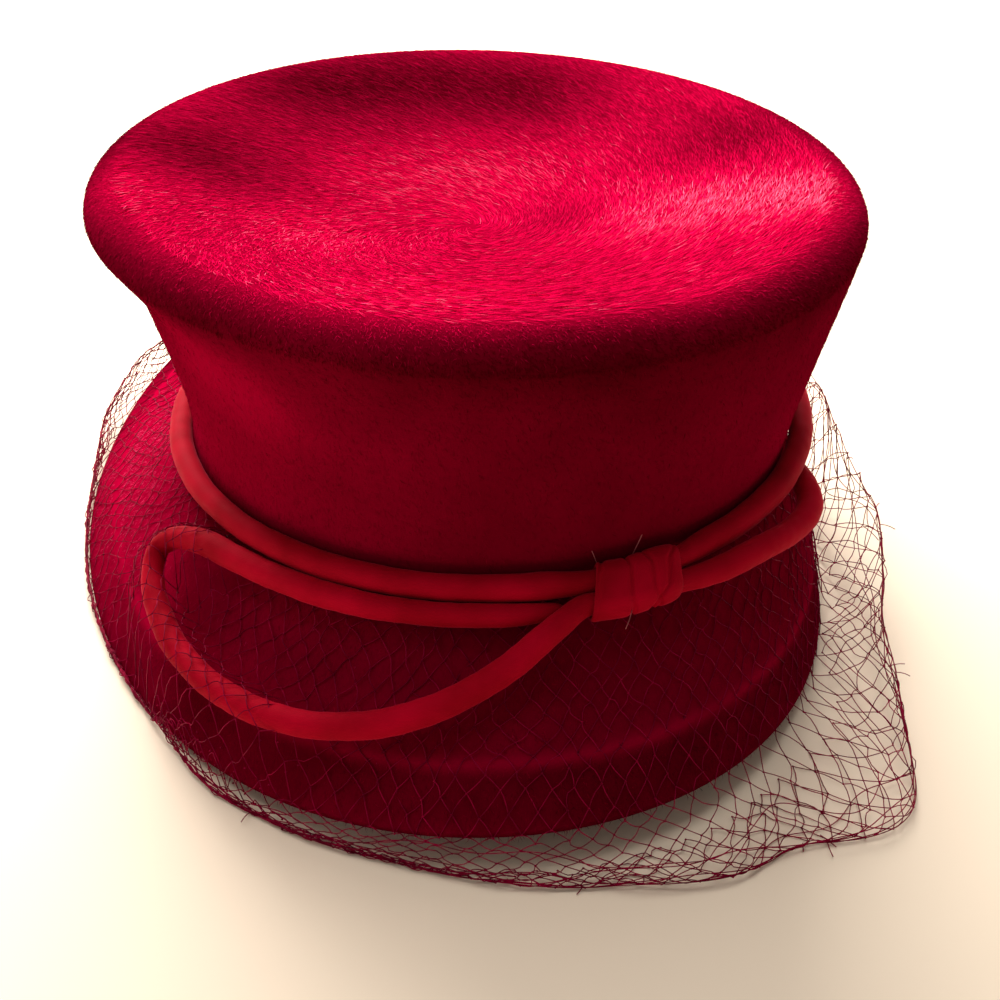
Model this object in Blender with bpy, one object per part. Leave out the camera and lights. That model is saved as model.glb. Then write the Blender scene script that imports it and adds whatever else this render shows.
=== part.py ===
"""A felt topper: a crown that flares up to a dished tip, a brim turned down all round, a rouleau
cord wrapped and knotted round the crown's foot with one long loop, and a skirt of veil net.

Metres, +Z up. The hat stands on its brim's edge at z = 0, with its front towards -Y and the knot
on that side. Every ring is an oval whose points are named by their angle: 0 is +X, -90 the front.
"""
import bmesh
import bpy
import numpy as np

# Felt
FELT = 0.0026                     # wall of the crown and of the brim
GAP = 0.0003                      # what touching pieces keep between them
CROWN_RED = (0.42, 0.008, 0.035)
BRIM_RED = (0.33, 0.005, 0.025)
FELT_ROUGHNESS = 0.8

# Crown: its foot, where it meets the brim, and the widest ring of its lip
FOOT_WIDTH, FOOT_LENGTH = 0.1650, 0.1960
FOOT_RIGHT, FOOT_FRONT = 0.0107, 0.0019      # how far the foot's middle lies from the brim's
FOOT_HEIGHT = 0.0352
FOOT_RISE_RIGHT, FOOT_RISE_FRONT = 0.056, 0.130   # slope of the seam, for each metre
LIP_WIDTH, LIP_LENGTH = 0.1946, 0.2180
LIP_RIGHT, LIP_FRONT = 0.0080, 0.0007
LIP_HEIGHT, LIP_RISE_FRONT = 0.1050, 0.046
LIP_INSET, LIP_CREST = 0.0095, 0.0070        # from the widest ring in and up to the crest
DISH_DEPTH = 0.0200
COLLAR = 0.0090                   # the brim's felt turned up inside the crown
FLARE = (  # share of the wall's height, share of its flare on the right, and on the left
    (0.00, 0.00, 0.00),
    (0.25, 0.18, -0.02),
    (0.45, 0.42, 0.11),
    (0.65, 0.65, 0.31),
    (0.82, 0.85, 0.51),
    (1.00, 1.00, 1.00),
)

# Brim: the oval of its edge, and how it falls from the crown's foot
BRIM_WIDTH, BRIM_LENGTH = 0.2120, 0.2734
BRIM_BACK = 0.0100                # how much longer its back half is
BRIM_LIFT = 0.0108                # front and back edges above the sides, on which it stands
STANDING_SHARE = 0.30             # sine of the angle up to which each side is flat
FALL = (  # share of the run outwards, share of the drop
    (0.00, 0.00),
    (0.12, 0.07),
    (0.38, 0.32),
    (0.74, 0.66),                 # the shoulder, where the flange turns down
    (0.88, 0.82),
    (1.00, 1.00),
)
SHOULDER = FALL[3][0]

# Veil net
NET = 0.0012                      # thickness of the net's strands
NET_COLUMNS = 24
NET_PLUM = (0.16, 0.004, 0.02)
NET_ROUGHNESS = 0.6
VEIL_TIP = -55                    # angle of the hem's furthest point, and of a row's first knot
VEIL_REACH, VEIL_RISE = 0.0350, 0.0340       # furthest beyond the brim, highest off the floor
VEIL_ROWS = (0.03, 0.38, SHOULDER)           # where rows of knots lie on the brim's run
VEIL_EDGE = (  # angle, share of the reach, share of the rise, share of the reach at the brim's edge
    (-180, 0.00, 0.16, 0.00),
    (-150, 0.00, 0.03, 0.00),
    (-135, 0.06, 0.00, 0.02),
    (-115, 0.02, 0.00, 0.02),
    (-100, 0.10, 0.00, 0.02),
    (-85, 0.28, 0.00, 0.04),
    (-70, 0.55, 0.00, 0.10),
    (VEIL_TIP, 0.92, 0.02, 0.20),
    (-40, 0.36, 0.32, 0.22),
    (-31, 0.45, 0.48, 0.25),
    (-15, 0.24, 0.80, 0.15),
    (-5, 0.28, 0.94, 0.12),
    (20, 0.16, 0.60, 0.08),
    (60, 0.10, 0.36, 0.05),
    (90, 0.10, 0.30, 0.05),
    (130, 0.10, 0.26, 0.05),
    (160, 0.06, 0.20, 0.03),
    (180, 0.00, 0.16, 0.00),
)

VEIL_SLOPE = 0.65                 # height past the brim's edge, as a share of the hem's,
VEIL_HANG = 0.0050                # and this much more
# A straight strand's middle lies this much nearer the brim than its two knots
NET_SAG = (BRIM_LENGTH / 2 + BRIM_BACK) * (1 - np.cos(np.pi / NET_COLUMNS))

# Rouleau cords and their knot
CORD = 0.0064
BAND_RISE = 0.0058                # middle of the band's cord above the crown's foot
SQUEEZE = 0.80                    # how thin the wrap pulls the cords
CORD_RED = (0.40, 0.004, 0.012)
WRAP = 0.0010                     # wall of the wrap, at the three turns
GROOVE = 0.6                      # its share of that between them
KNOT_FROM, KNOT_TO = -92.0, -79.0
KNOT_MOUTH, KNOT_EASE = 1.0, 8.0  # degrees past the wrap: cords straight, cords back to full size
KNOT_SHARE = 0.13                 # where the lower cord passes the knot, on the brim's run
LOOP_ROUTE = (  # angle, share of the brim's run, lift in cord thicknesses, share of the thickness
    (-95.5, 0.12, -0.20, 0.50),
    (-101, 0.13, -0.05, 0.75),
    (-112, 0.13, 0.00, 0.80),
    (-124, 0.13, 0.00, 0.85),
    (-136, 0.13, 0.00, 0.90),
    (-146.5, 0.14, 0.00, 0.95),
    (-154, 0.165, 0.05, 1.00),
    (-159.5, 0.235, 0.15, 0.95),
    (-162, 0.335, 0.25, 0.90),
    (-160.5, 0.455, 0.25, 0.90),
    (-155.5, 0.565, 0.20, 0.95),
    (-147.5, 0.655, 0.15, 1.00),
    (-137, 0.695, 0.15, 1.00),
    (-126, 0.675, 0.20, 1.00),
    (-116, 0.595, 0.25, 1.00),
    (-108, 0.465, 0.30, 1.00),
    (-102, 0.32, 0.25, 1.00),
    (-97, 0.195, 0.20, 0.90),
)
TAIL_ROUTE = (
    (-73, 0.145, 0.18, 0.92),
    (-67, 0.147, 0.30, 1.00),
    (-60, 0.162, 0.40, 1.00),
    (-54, 0.183, 0.42, 1.00),
    (-48, 0.175, 0.40, 1.00),
    (-44.5, 0.13, 0.10, 0.95),
    (-41.5, 0.11, -0.08, 0.75),
    (-38.5, 0.10, -0.22, 0.50),
)

# How finely the faceted solids follow the shapes
ROUND = 64
DISH_RINGS = (0.30, 0.55, 0.78, 0.92)
LIP_RINGS = (1.00, 0.66, 0.33)
CORD_STEPS, BAND_STEPS = 62, 60
KNOT_STEPS, WRAP_STEPS, WRAP_ROUND = 5, 7, 16
CREASE = 50                       # edges sharper than this are shaded as edges


def clear_scene():
    for thing in list(bpy.data.objects):
        bpy.data.objects.remove(thing)


def through(at, stations, values):
    """A smooth curve through values at rising stations: a cubic in each stretch, with each
    station's slope the mean of its two sides'."""
    stations = np.asarray(stations, float)
    values = np.asarray(values, float)
    flat = (slice(None),) + (None,) * (values.ndim - 1)
    rate = np.diff(values, axis=0) / np.diff(stations)[flat]
    slope = np.concatenate([rate[:1], (rate[1:] + rate[:-1]) / 2, rate[-1:]])
    k = np.clip(np.searchsorted(stations, at, side="right") - 1, 0, len(stations) - 2)
    width = (stations[k + 1] - stations[k])[flat]
    t = ((at - stations[k]) / (stations[k + 1] - stations[k]))[flat]
    return ((1 + 2 * t) * (1 - t) ** 2 * values[k] + t * (1 - t) ** 2 * width * slope[k]
            + t ** 2 * (3 - 2 * t) * values[k + 1] + t ** 2 * (t - 1) * width * slope[k + 1])


def column(table, number, at):
    """One column of a table, read smoothly at its first column's values."""
    rows = np.array(table, float)
    return through(np.asarray(at, float), rows[:, 0], rows[:, number])


def oval(width, length, right, front, angle):
    """Points of a level oval: half its width times the cosine, half its length times the sine."""
    return np.stack([right + width / 2 * np.cos(angle), -front + length / 2 * np.sin(angle)], -1)


def with_height(plan, height):
    return np.concatenate([plan, height[..., None]], -1)


def foot_height(plan):
    return (FOOT_HEIGHT + FOOT_RISE_RIGHT * (plan[..., 0] - FOOT_RIGHT)
            - FOOT_RISE_FRONT * (plan[..., 1] + FOOT_FRONT))


def lip_height(plan):
    return LIP_HEIGHT - LIP_RISE_FRONT * (plan[..., 1] + LIP_FRONT)


def crown_wall(angle, share):
    """The wall's outside, from its foot (share 0) to the lip's widest ring (share 1)."""
    foot = oval(FOOT_WIDTH, FOOT_LENGTH, FOOT_RIGHT, FOOT_FRONT, angle)
    lip = oval(LIP_WIDTH, LIP_LENGTH, LIP_RIGHT, LIP_FRONT, angle)
    to_right = (1 + np.cos(angle)) / 2
    flare = column(FLARE, 1, share) * to_right + column(FLARE, 2, share) * (1 - to_right)
    low, high = foot_height(foot), lip_height(lip)
    return with_height(foot + (lip - foot) * flare[..., None], low + (high - low) * share)


def crown_lip(angle, turn):
    """The rounded lip: a quarter of an oval from the crest (turn 1) to the widest ring (turn 0)."""
    inset = LIP_INSET * (1 - np.cos(turn * np.pi / 2))
    plan = oval(LIP_WIDTH, LIP_LENGTH, LIP_RIGHT, LIP_FRONT, angle)
    inner = oval(LIP_WIDTH - 2 * LIP_INSET, LIP_LENGTH - 2 * LIP_INSET, LIP_RIGHT, LIP_FRONT, angle)
    plan = plan + (inner - plan) * (inset / LIP_INSET)[..., None]
    return with_height(plan, lip_height(plan) + LIP_CREST * np.sin(turn * np.pi / 2))


def crown_dish(angle, share):
    """The dished tip, from its middle (share 0) out to the crest (share 1)."""
    crest = oval(LIP_WIDTH - 2 * LIP_INSET, LIP_LENGTH - 2 * LIP_INSET, LIP_RIGHT, LIP_FRONT, angle)
    middle = np.array([LIP_RIGHT, -LIP_FRONT])
    plan = middle + (crest - middle) * share[..., None]
    return with_height(plan, lip_height(plan) + LIP_CREST - DISH_DEPTH * (1 - share ** 2) ** 1.5)


def brim_edge(angle):
    """The oval of the brim's edge, whose back half is the longer."""
    length = BRIM_LENGTH + 2 * BRIM_BACK * (np.sin(angle) > 0)
    return oval(BRIM_WIDTH, length, 0.0, 0.0, angle)


def brim_top(angle, share):
    """The brim's upper side, from the crown's foot (share 0) to its edge (share 1)."""
    foot = oval(FOOT_WIDTH, FOOT_LENGTH, FOOT_RIGHT, FOOT_FRONT, angle)
    edge = brim_edge(angle)
    off_flat = np.clip((abs(np.sin(angle)) - STANDING_SHARE) / (1 - STANDING_SHARE), 0, 1)
    high, low = foot_height(foot) - GAP, BRIM_LIFT * off_flat ** 2
    drop = column(FALL, 1, np.clip(share, 0, 1))
    return with_height(foot + (edge - foot) * share[..., None], high + (low - high) * drop)


def rows_of(surface, shares):
    """The surface's rings at these shares, as rows of a grid of points."""
    angle = np.linspace(0, 2 * np.pi, ROUND, endpoint=False)
    grid = np.meshgrid(np.asarray(shares, float), angle, indexing="ij")
    return surface(grid[1], grid[0])


def off(surface, angle, share, distance):
    """Points a distance off a surface, along its normal: square to both its directions, and
    turned away from the middle of the space for the head."""
    step = 1e-4
    share = np.clip(share, step, 1 - step)
    along = surface(angle + step, share) - surface(angle - step, share)
    down = surface(angle, share + step) - surface(angle, share - step)
    normal = np.cross(down, along)
    normal /= np.linalg.norm(normal, axis=-1, keepdims=True)
    here = surface(angle, share)
    head = np.array([FOOT_RIGHT, -FOOT_FRONT, FOOT_HEIGHT / 2])
    normal *= np.sign((normal * (here - head)).sum(-1, keepdims=True))
    return here + normal * np.asarray(distance)[..., None]


def rows_off(surface, shares, distance):
    return rows_of(lambda angle, share: off(surface, angle, share, distance), shares)


def grid_faces(rows, count, ring_of_rows):
    """Four-sided faces between each row and the next, and across each row's own ring."""
    first = np.arange(rows if ring_of_rows else rows - 1)[:, None] * count
    second = (first + count) % (rows * count)
    here = np.arange(count)[None]
    following = (here + 1) % count
    return np.stack([first + here, second + here, second + following, first + following], -1)


def add_object(name, points, faces, colour, roughness):
    mesh = bpy.data.meshes.new(name)
    mesh.from_pydata([tuple(p) for p in points], [], [tuple(map(int, f)) for f in faces])
    shell = bmesh.new()
    shell.from_mesh(mesh)
    bmesh.ops.recalc_face_normals(shell, faces=shell.faces)
    shell.to_mesh(mesh)
    shell.free()
    thing = bpy.data.objects.new(name, mesh)
    return finish(thing, colour, roughness)


def finish(thing, colour, roughness):
    """Puts the object in the scene with a material of its own."""
    bpy.context.collection.objects.link(thing)
    material = bpy.data.materials.new(thing.name)
    material.use_nodes = True
    shader = material.node_tree.nodes["Principled BSDF"]
    shader.inputs["Base Color"].default_value = (*colour, 1)
    shader.inputs["Roughness"].default_value = roughness
    shader.inputs["Metallic"].default_value = 0.0
    thing.data.materials.append(material)
    if thing.type == "MESH":
        thing.data.shade_smooth()
        thing.data.set_sharp_from_angle(angle=np.radians(CREASE))
    return thing


def make_crown():
    """Outside rings from the dish's middle down to the foot, then the inside's back up again."""
    wall = [row[0] for row in FLARE[::-1]]
    parts = ((crown_dish, DISH_RINGS), (crown_lip, LIP_RINGS), (crown_wall, wall))
    outside = [rows_of(*part) for part in parts]
    inside = [rows_off(*part, -FELT) for part in parts]
    inside[2][-1, :, 2] = outside[2][-1, :, 2]
    rows = np.concatenate(outside + [part[::-1] for part in inside[::-1]])
    points = rows.reshape(-1, 3)
    top = crown_dish(np.zeros(1), np.zeros(1))[0]
    points = np.vstack([points, top, top - [0, 0, FELT]])
    faces = grid_faces(len(rows), ROUND, False).reshape(-1, 4).tolist()
    last, here = len(rows) * ROUND - ROUND, np.arange(ROUND)
    following = (here + 1) % ROUND
    faces += [(len(points) - 2, a, b) for a, b in zip(here, following)]
    faces += [(len(points) - 1, last + b, last + a) for a, b in zip(here, following)]
    return add_object("crown", points, faces, CROWN_RED, FELT_ROUGHNESS)


def make_brim():
    """The collar inside the crown, the seat under its foot, the fall to the edge, and back below."""
    collar_share = COLLAR / (LIP_HEIGHT - FOOT_HEIGHT)
    fall = [row[0] for row in FALL]
    collar = rows_off(crown_wall, (collar_share, 0.0), -FELT - GAP)
    lining = rows_off(crown_wall, (0.0, collar_share), -2 * FELT - GAP)
    above = rows_of(brim_top, fall)
    collar[1, :, 2] = above[0, :, 2]
    lining[0, :, 2] = above[0, :, 2] - FELT
    below = rows_off(brim_top, fall, -FELT)
    below[-1, :, 2] = above[-1, :, 2]
    rows = np.concatenate([collar, above, below[::-1], lining])
    faces = grid_faces(len(rows), ROUND, True).reshape(-1, 4)
    return add_object("brim", rows.reshape(-1, 3), faces, BRIM_RED, FELT_ROUGHNESS)


def veil_row(number, angle):
    """One row of the net's knots: three on the brim, one past its edge, one at the veil's hem."""
    if number < len(VEIL_ROWS):
        share = np.full_like(angle, VEIL_ROWS[number])
        sag = NET_SAG if number else NET_SAG * FOOT_LENGTH / BRIM_LENGTH
        return off(brim_top, angle, share, GAP + NET / 2 + sag)
    degrees = (np.degrees(angle) + 180) % 360 - 180
    edge = brim_top(angle, np.ones_like(angle))
    out = edge[..., :2] / np.linalg.norm(edge[..., :2], axis=-1, keepdims=True)
    clear = GAP + NET + NET_SAG
    if number == len(VEIL_ROWS):
        reach = VEIL_REACH * column(VEIL_EDGE, 3, degrees) + clear
        lift = VEIL_RISE * column(VEIL_EDGE, 2, degrees) * VEIL_SLOPE + NET + VEIL_HANG
        height = np.maximum(edge[..., 2], lift)
    else:
        reach = VEIL_REACH * column(VEIL_EDGE, 1, degrees) + clear
        height = VEIL_RISE * column(VEIL_EDGE, 2, degrees) + NET
    return with_height(edge[..., :2] + out * reach[..., None], height)


def make_veil():
    """Diamonds between five rows of knots, every other row half a column on, with triangles at
    the seam and at the hem. A wireframe turns their edges into strands."""
    step = 2 * np.pi / NET_COLUMNS
    start = np.radians(VEIL_TIP)
    count = len(VEIL_ROWS) + 2
    angles = [start + step * (np.arange(NET_COLUMNS) + row % 2 / 2) for row in range(count)]
    points = np.concatenate([veil_row(row, angle) for row, angle in enumerate(angles)])

    def knot(row, place):
        return row * NET_COLUMNS + place % NET_COLUMNS

    faces = []
    for place in range(NET_COLUMNS):
        for row in range(1, count - 1):
            side = place + row % 2
            faces.append((knot(row, place), knot(row + 1, side), knot(row, place + 1),
                          knot(row - 1, side)))
        faces.append((knot(0, place), knot(1, place), knot(0, place + 1)))
        last = count - 1
        faces.append((knot(last, place + 1), knot(last - 1, place), knot(last, place)))
    veil = add_object("veil", points, faces, NET_PLUM, NET_ROUGHNESS)
    strands = veil.modifiers.new("strands", "WIREFRAME")
    strands.thickness = NET
    strands.use_even_offset = True
    strands.use_boundary = True
    strands.use_replace = True
    return veil


def in_knot(angle):
    """1 between the wrap's two mouths, falling to 0 a few degrees past each."""
    past = np.maximum(KNOT_FROM - angle, angle - KNOT_TO)
    share = np.clip(past / KNOT_EASE, 0, 1)
    return 1 - share ** 2 * (3 - 2 * share)


def band_point(angle):
    """The band's cord lies against the crown's foot, and the wrap holds it a wall away."""
    radians = np.radians(angle)
    share = np.full_like(radians, BAND_RISE / (LIP_HEIGHT - FOOT_HEIGHT))
    inside = in_knot(angle)
    away = (CORD / 2) * (1 - (1 - SQUEEZE) * inside) + GAP + (WRAP + 2 * GAP) * inside
    return off(crown_wall, radians, share, away)


def rest_lift(thickness):
    """How far a cord's middle lies off the brim when it rests on the veil."""
    return thickness / 2 + NET + NET_SAG + 2 * GAP


def loop_table():
    """The whole route of the loop's cord: its tucked end, the loop, the knot and the tail."""
    knot = [(angle, KNOT_SHARE, (WRAP + GAP) / CORD, SQUEEZE)
            for angle in np.linspace(KNOT_FROM - KNOT_MOUTH, KNOT_TO + KNOT_MOUTH, KNOT_STEPS)]
    return np.array(list(LOOP_ROUTE) + knot + list(TAIL_ROUTE), float)


def loop_point(angle, share, lift, thickness):
    return off(brim_top, np.radians(angle), share, rest_lift(CORD * thickness) + lift * CORD)


def make_cord(name, points, thickness, closed):
    """A tube along these points, its thickness a share of the cord's at each."""
    curve = bpy.data.curves.new(name, "CURVE")
    curve.dimensions = "3D"
    curve.bevel_depth = CORD / 2
    curve.bevel_resolution = 2
    curve.use_fill_caps = True
    spline = curve.splines.new("POLY")
    spline.points.add(len(points) - 1)
    for place, point, share in zip(spline.points, points, thickness):
        place.co = (*point, 1)
        place.radius = share
    spline.use_cyclic_u = closed
    return finish(bpy.data.objects.new(name, curve), CORD_RED, FELT_ROUGHNESS)


def make_band():
    angle = np.linspace(-180, 180, BAND_STEPS, endpoint=False)
    thickness = 1 - (1 - SQUEEZE) * in_knot(angle)
    return make_cord("band_cord", band_point(angle), thickness, True)


def make_loop():
    table = loop_table()
    points = loop_point(*table.T)
    length = np.concatenate([[0], np.cumsum(np.linalg.norm(np.diff(points, axis=0), axis=1))])
    even = np.linspace(0, length[-1], CORD_STEPS)
    thickness = through(even, length, table[:, 3])
    return make_cord("loop_cord", through(even, length, points), thickness, False)


def make_wrap():
    """A sleeve round the two cords, narrower between its three turns: a long round section whose
    two ends are centred on the cords."""
    stations = np.linspace(KNOT_FROM, KNOT_TO, WRAP_STEPS)
    upper = band_point(stations)
    share, lift = np.full(WRAP_STEPS, KNOT_SHARE), np.full(WRAP_STEPS, (WRAP + GAP) / CORD)
    lower = loop_point(stations, share, lift, SQUEEZE)
    ahead = np.gradient(upper + lower, axis=0)
    across = upper - lower
    half = np.linalg.norm(across, axis=-1, keepdims=True) / 2
    across = across / (2 * half)
    outward = np.cross(ahead, across)
    outward /= np.linalg.norm(outward, axis=-1, keepdims=True)
    turn = (np.arange(WRAP_ROUND) + 0.5) * 2 * np.pi / WRAP_ROUND
    bore = CORD * SQUEEZE / 2 + 2 * GAP
    wall = np.where(np.arange(WRAP_STEPS) % 2, WRAP, WRAP * GROOVE)

    def section(radius):
        side = np.sign(np.sin(turn))[None, :, None] * half[:, None]
        swing = radius[:, None, None] * np.stack([np.cos(turn), np.sin(turn)], -1)[None]
        middle = ((upper + lower) / 2)[:, None]
        return (middle + outward[:, None] * swing[..., :1]
                + across[:, None] * (swing[..., 1:] + side))

    rows = np.concatenate([section(bore + wall), section(np.full(WRAP_STEPS, bore))[::-1]])
    faces = grid_faces(len(rows), WRAP_ROUND, True).reshape(-1, 4)
    return add_object("knot_wrap", rows.reshape(-1, 3), faces, CORD_RED, FELT_ROUGHNESS)


def stand_on_origin(things):
    """Hangs the pieces from one empty, moved so that the whole stands centred over the origin."""
    bpy.context.view_layer.update()
    graph = bpy.context.evaluated_depsgraph_get()
    corners = []
    for thing in things:
        solid = thing.evaluated_get(graph)
        corners += [point.co for point in solid.to_mesh().vertices]
        solid.to_mesh_clear()
    low, high = np.min(corners, axis=0), np.max(corners, axis=0)
    hat = bpy.data.objects.new("hat", None)
    bpy.context.collection.objects.link(hat)
    hat.location = (-(low[0] + high[0]) / 2, -(low[1] + high[1]) / 2, -low[2])
    for thing in things:
        thing.parent = hat


clear_scene()
stand_on_origin([make_crown(), make_brim(), make_veil(), make_band(), make_loop(), make_wrap()])
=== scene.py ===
"""A red felt topper: a bell crown with a dished tip and long brushed nap, a brim turned down all
round, a rolled cord with a knot and one long loop, and a skirt of diamond veil net."""

import bpy
import numpy as np
from mathutils import Matrix, Vector


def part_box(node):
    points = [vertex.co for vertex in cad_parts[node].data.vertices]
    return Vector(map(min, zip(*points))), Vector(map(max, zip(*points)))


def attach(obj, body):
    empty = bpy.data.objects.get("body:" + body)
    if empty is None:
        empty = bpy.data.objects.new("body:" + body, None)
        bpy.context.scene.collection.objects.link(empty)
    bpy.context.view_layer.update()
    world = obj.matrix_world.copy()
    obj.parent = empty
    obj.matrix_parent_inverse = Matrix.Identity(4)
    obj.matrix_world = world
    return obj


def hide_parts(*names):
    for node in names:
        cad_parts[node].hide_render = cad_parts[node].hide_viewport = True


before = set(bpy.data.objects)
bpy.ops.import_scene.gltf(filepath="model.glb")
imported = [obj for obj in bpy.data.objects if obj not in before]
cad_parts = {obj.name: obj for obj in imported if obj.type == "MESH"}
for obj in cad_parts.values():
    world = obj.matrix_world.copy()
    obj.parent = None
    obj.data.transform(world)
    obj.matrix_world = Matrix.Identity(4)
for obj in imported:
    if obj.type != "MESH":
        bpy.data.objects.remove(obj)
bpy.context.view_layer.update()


# Camera, floor and daylight. The hat stands on a pale table before a bright window: the light comes
# from behind and above, so the tip is bright, the front of the wall is dark and the shadow falls
# towards the camera.
FRONT_REACH = 0.1367              # from the hat's middle to the front of its brim
brim_low, brim_high = (np.array(corner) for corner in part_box("brim"))
STAND = np.array([(brim_low[0] + brim_high[0]) / 2, brim_low[1] + FRONT_REACH, brim_low[2]])

EYE = np.array([-0.07516, -0.30051, 0.23240]) + STAND
GAZE = Vector((0.2370, 0.7663, -0.5972)).normalized()
LENS, SENSOR = 45.0, 36.0
ROLL = 0.020                      # radians, the right side of the picture up

camera = bpy.data.objects.new("camera", bpy.data.cameras.new("camera"))
bpy.context.collection.objects.link(camera)
camera.data.lens, camera.data.sensor_width = LENS, SENSOR
camera.data.clip_start = 0.01
level = GAZE.cross(Vector((0, 0, 1))).normalized()
upright = level.cross(GAZE)
right = np.cos(ROLL) * level + np.sin(ROLL) * upright
up = -np.sin(ROLL) * level + np.cos(ROLL) * upright
camera.matrix_world = (Matrix.Translation(EYE)
                       @ Matrix((right, up, -GAZE)).transposed().to_4x4())
bpy.context.scene.camera = camera
bpy.context.scene.view_settings.view_transform = "Standard"

FLOOR_SIZE, FLOOR_DROP = 6.0, 0.00015
FLOOR_CREAM, FLOOR_ROUGHNESS = (0.92, 0.75, 0.56, 1), 0.7


def solid_mesh(name, points, faces):
    """An object at the origin whose mesh has these points and faces, shaded smooth."""
    mesh = bpy.data.meshes.new(name)
    mesh.from_pydata(np.asarray(points).tolist(), [], [list(face) for face in faces])
    mesh.shade_smooth()
    thing = bpy.data.objects.new(name, mesh)
    bpy.context.collection.objects.link(thing)
    return thing


def surfaced(name, **settings):
    """A new material, its nodes, its links and its surface node, with these inputs of that node
    set. Their names have _ for each space."""
    material = bpy.data.materials.new(name)
    material.use_nodes = True
    nodes, links = material.node_tree.nodes, material.node_tree.links
    surface = nodes["Principled BSDF"]
    for key, value in settings.items():
        surface.inputs[key.replace("_", " ")].default_value = value
    return material, nodes, links, surface


half = FLOOR_SIZE / 2
corners = [(x * half, y * half, -FLOOR_DROP) for x, y in ((-1, -1), (1, -1), (1, 1), (-1, 1))]
floor = solid_mesh("table", corners, [(0, 1, 2, 3)])
floor.data.materials.append(surfaced("table", Base_Color=FLOOR_CREAM,
                                     Roughness=FLOOR_ROUGHNESS)[0])

LAMPS = (  # name, place, aim, width, height, watts, colour
    ("window", (0.05, 1.00, 0.66), (0.0, 0.02, 0.04), 1.1, 0.6, 48.0, (1.0, 0.985, 0.97)),
    ("sky", (-0.1, 0.25, 1.5), (0.0, 0.0, 0.0), 1.2, 1.0, 13.0, (0.98, 0.99, 1.0)),
    ("left_fill", (-1.1, 0.0, 0.45), (0.0, 0.0, 0.05), 0.7, 0.7, 1.6, (1.0, 0.97, 0.98)),
)
for name, place, aim, width, height, watts, colour in LAMPS:
    lamp = bpy.data.lights.new(name, "AREA")
    lamp.shape, lamp.size, lamp.size_y = "RECTANGLE", width, height
    lamp.energy, lamp.color = watts, colour
    holder = bpy.data.objects.new(name, lamp)
    bpy.context.collection.objects.link(holder)
    holder.location = place
    holder.rotation_euler = (Vector(aim) - Vector(place)).to_track_quat("-Z", "Y").to_euler()

ROOM_WHITE, ROOM_STRENGTH = (1.0, 0.97, 0.95, 1), 0.25
world = bpy.data.worlds.new("room")
bpy.context.scene.world = world
world.use_nodes = True
room = world.node_tree.nodes["Background"]
room.inputs["Color"].default_value = ROOM_WHITE
room.inputs["Strength"].default_value = ROOM_STRENGTH


# Crown. One cap of fur felt, blocked to a bell that flares up to a thick rounded lip round a
# dished tip. The felt has a long nap, brushed in a whirl on the tip and downwards on the wall.
FELT, GAP = 0.0026, 0.0003
FOOT_WIDTH, FOOT_LENGTH = 0.1650, 0.1960
FOOT_RIGHT, FOOT_FRONT = 0.0107, 0.0019
FOOT_HEIGHT = 0.0352
FOOT_RISE_RIGHT, FOOT_RISE_FRONT = 0.056, 0.130
LIP_WIDTH, LIP_LENGTH = 0.1946, 0.2180
LIP_RIGHT, LIP_FRONT = 0.0080, 0.0007
LIP_HEIGHT, LIP_RISE_FRONT = 0.1050, 0.046
LIP_INSET, LIP_CREST = 0.0095, 0.0070
DISH_DEPTH = 0.0200
FLARE = (  # share of the wall's height, share of its flare on the right, and on the left
    (0.00, 0.00, 0.00),
    (0.25, 0.18, -0.02),
    (0.45, 0.42, 0.11),
    (0.65, 0.65, 0.31),
    (0.82, 0.85, 0.51),
    (1.00, 1.00, 1.00),
)
ROUND = 288                       # points round each ring of felt


def through(at, stations, values):
    """A smooth curve through values at rising stations: a cubic in each stretch, with each
    station's slope the mean of its two sides'."""
    at, stations = np.asarray(at, float), np.asarray(stations, float)
    values = np.asarray(values, float)
    flat = (slice(None),) + (None,) * (values.ndim - 1)
    rate = np.diff(values, axis=0) / np.diff(stations)[flat]
    slope = np.concatenate([rate[:1], (rate[1:] + rate[:-1]) / 2, rate[-1:]])
    k = np.clip(np.searchsorted(stations, at, side="right") - 1, 0, len(stations) - 2)
    spread = (Ellipsis,) + (None,) * (values.ndim - 1)
    width = (stations[k + 1] - stations[k])[spread]
    t = ((at - stations[k]) / (stations[k + 1] - stations[k]))[spread]
    return ((1 + 2 * t) * (1 - t) ** 2 * values[k] + t * (1 - t) ** 2 * width * slope[k]
            + t ** 2 * (3 - 2 * t) * values[k + 1] + t ** 2 * (t - 1) * width * slope[k + 1])


def column(table, number, at):
    """One column of a table, read smoothly at its first column's values."""
    rows = np.array(table, float)
    return through(at, rows[:, 0], rows[:, number])


def oval(width, length, right, front, angle):
    """Points of a level oval: half its width times the cosine, half its length times the sine."""
    return np.stack([right + width / 2 * np.cos(angle), -front + length / 2 * np.sin(angle)], -1)


def with_height(plan, height):
    """Points with these plan places and heights."""
    return np.concatenate([plan, height[..., None]], -1)


def foot_height(plan):
    """The crown's foot is a tilted plane: higher to the right and to the front."""
    return (FOOT_HEIGHT + FOOT_RISE_RIGHT * (plan[..., 0] - FOOT_RIGHT)
            - FOOT_RISE_FRONT * (plan[..., 1] + FOOT_FRONT))


def lip_height(plan):
    """The lip's widest ring is a tilted plane: higher to the front."""
    return LIP_HEIGHT - LIP_RISE_FRONT * (plan[..., 1] + LIP_FRONT)


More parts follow.
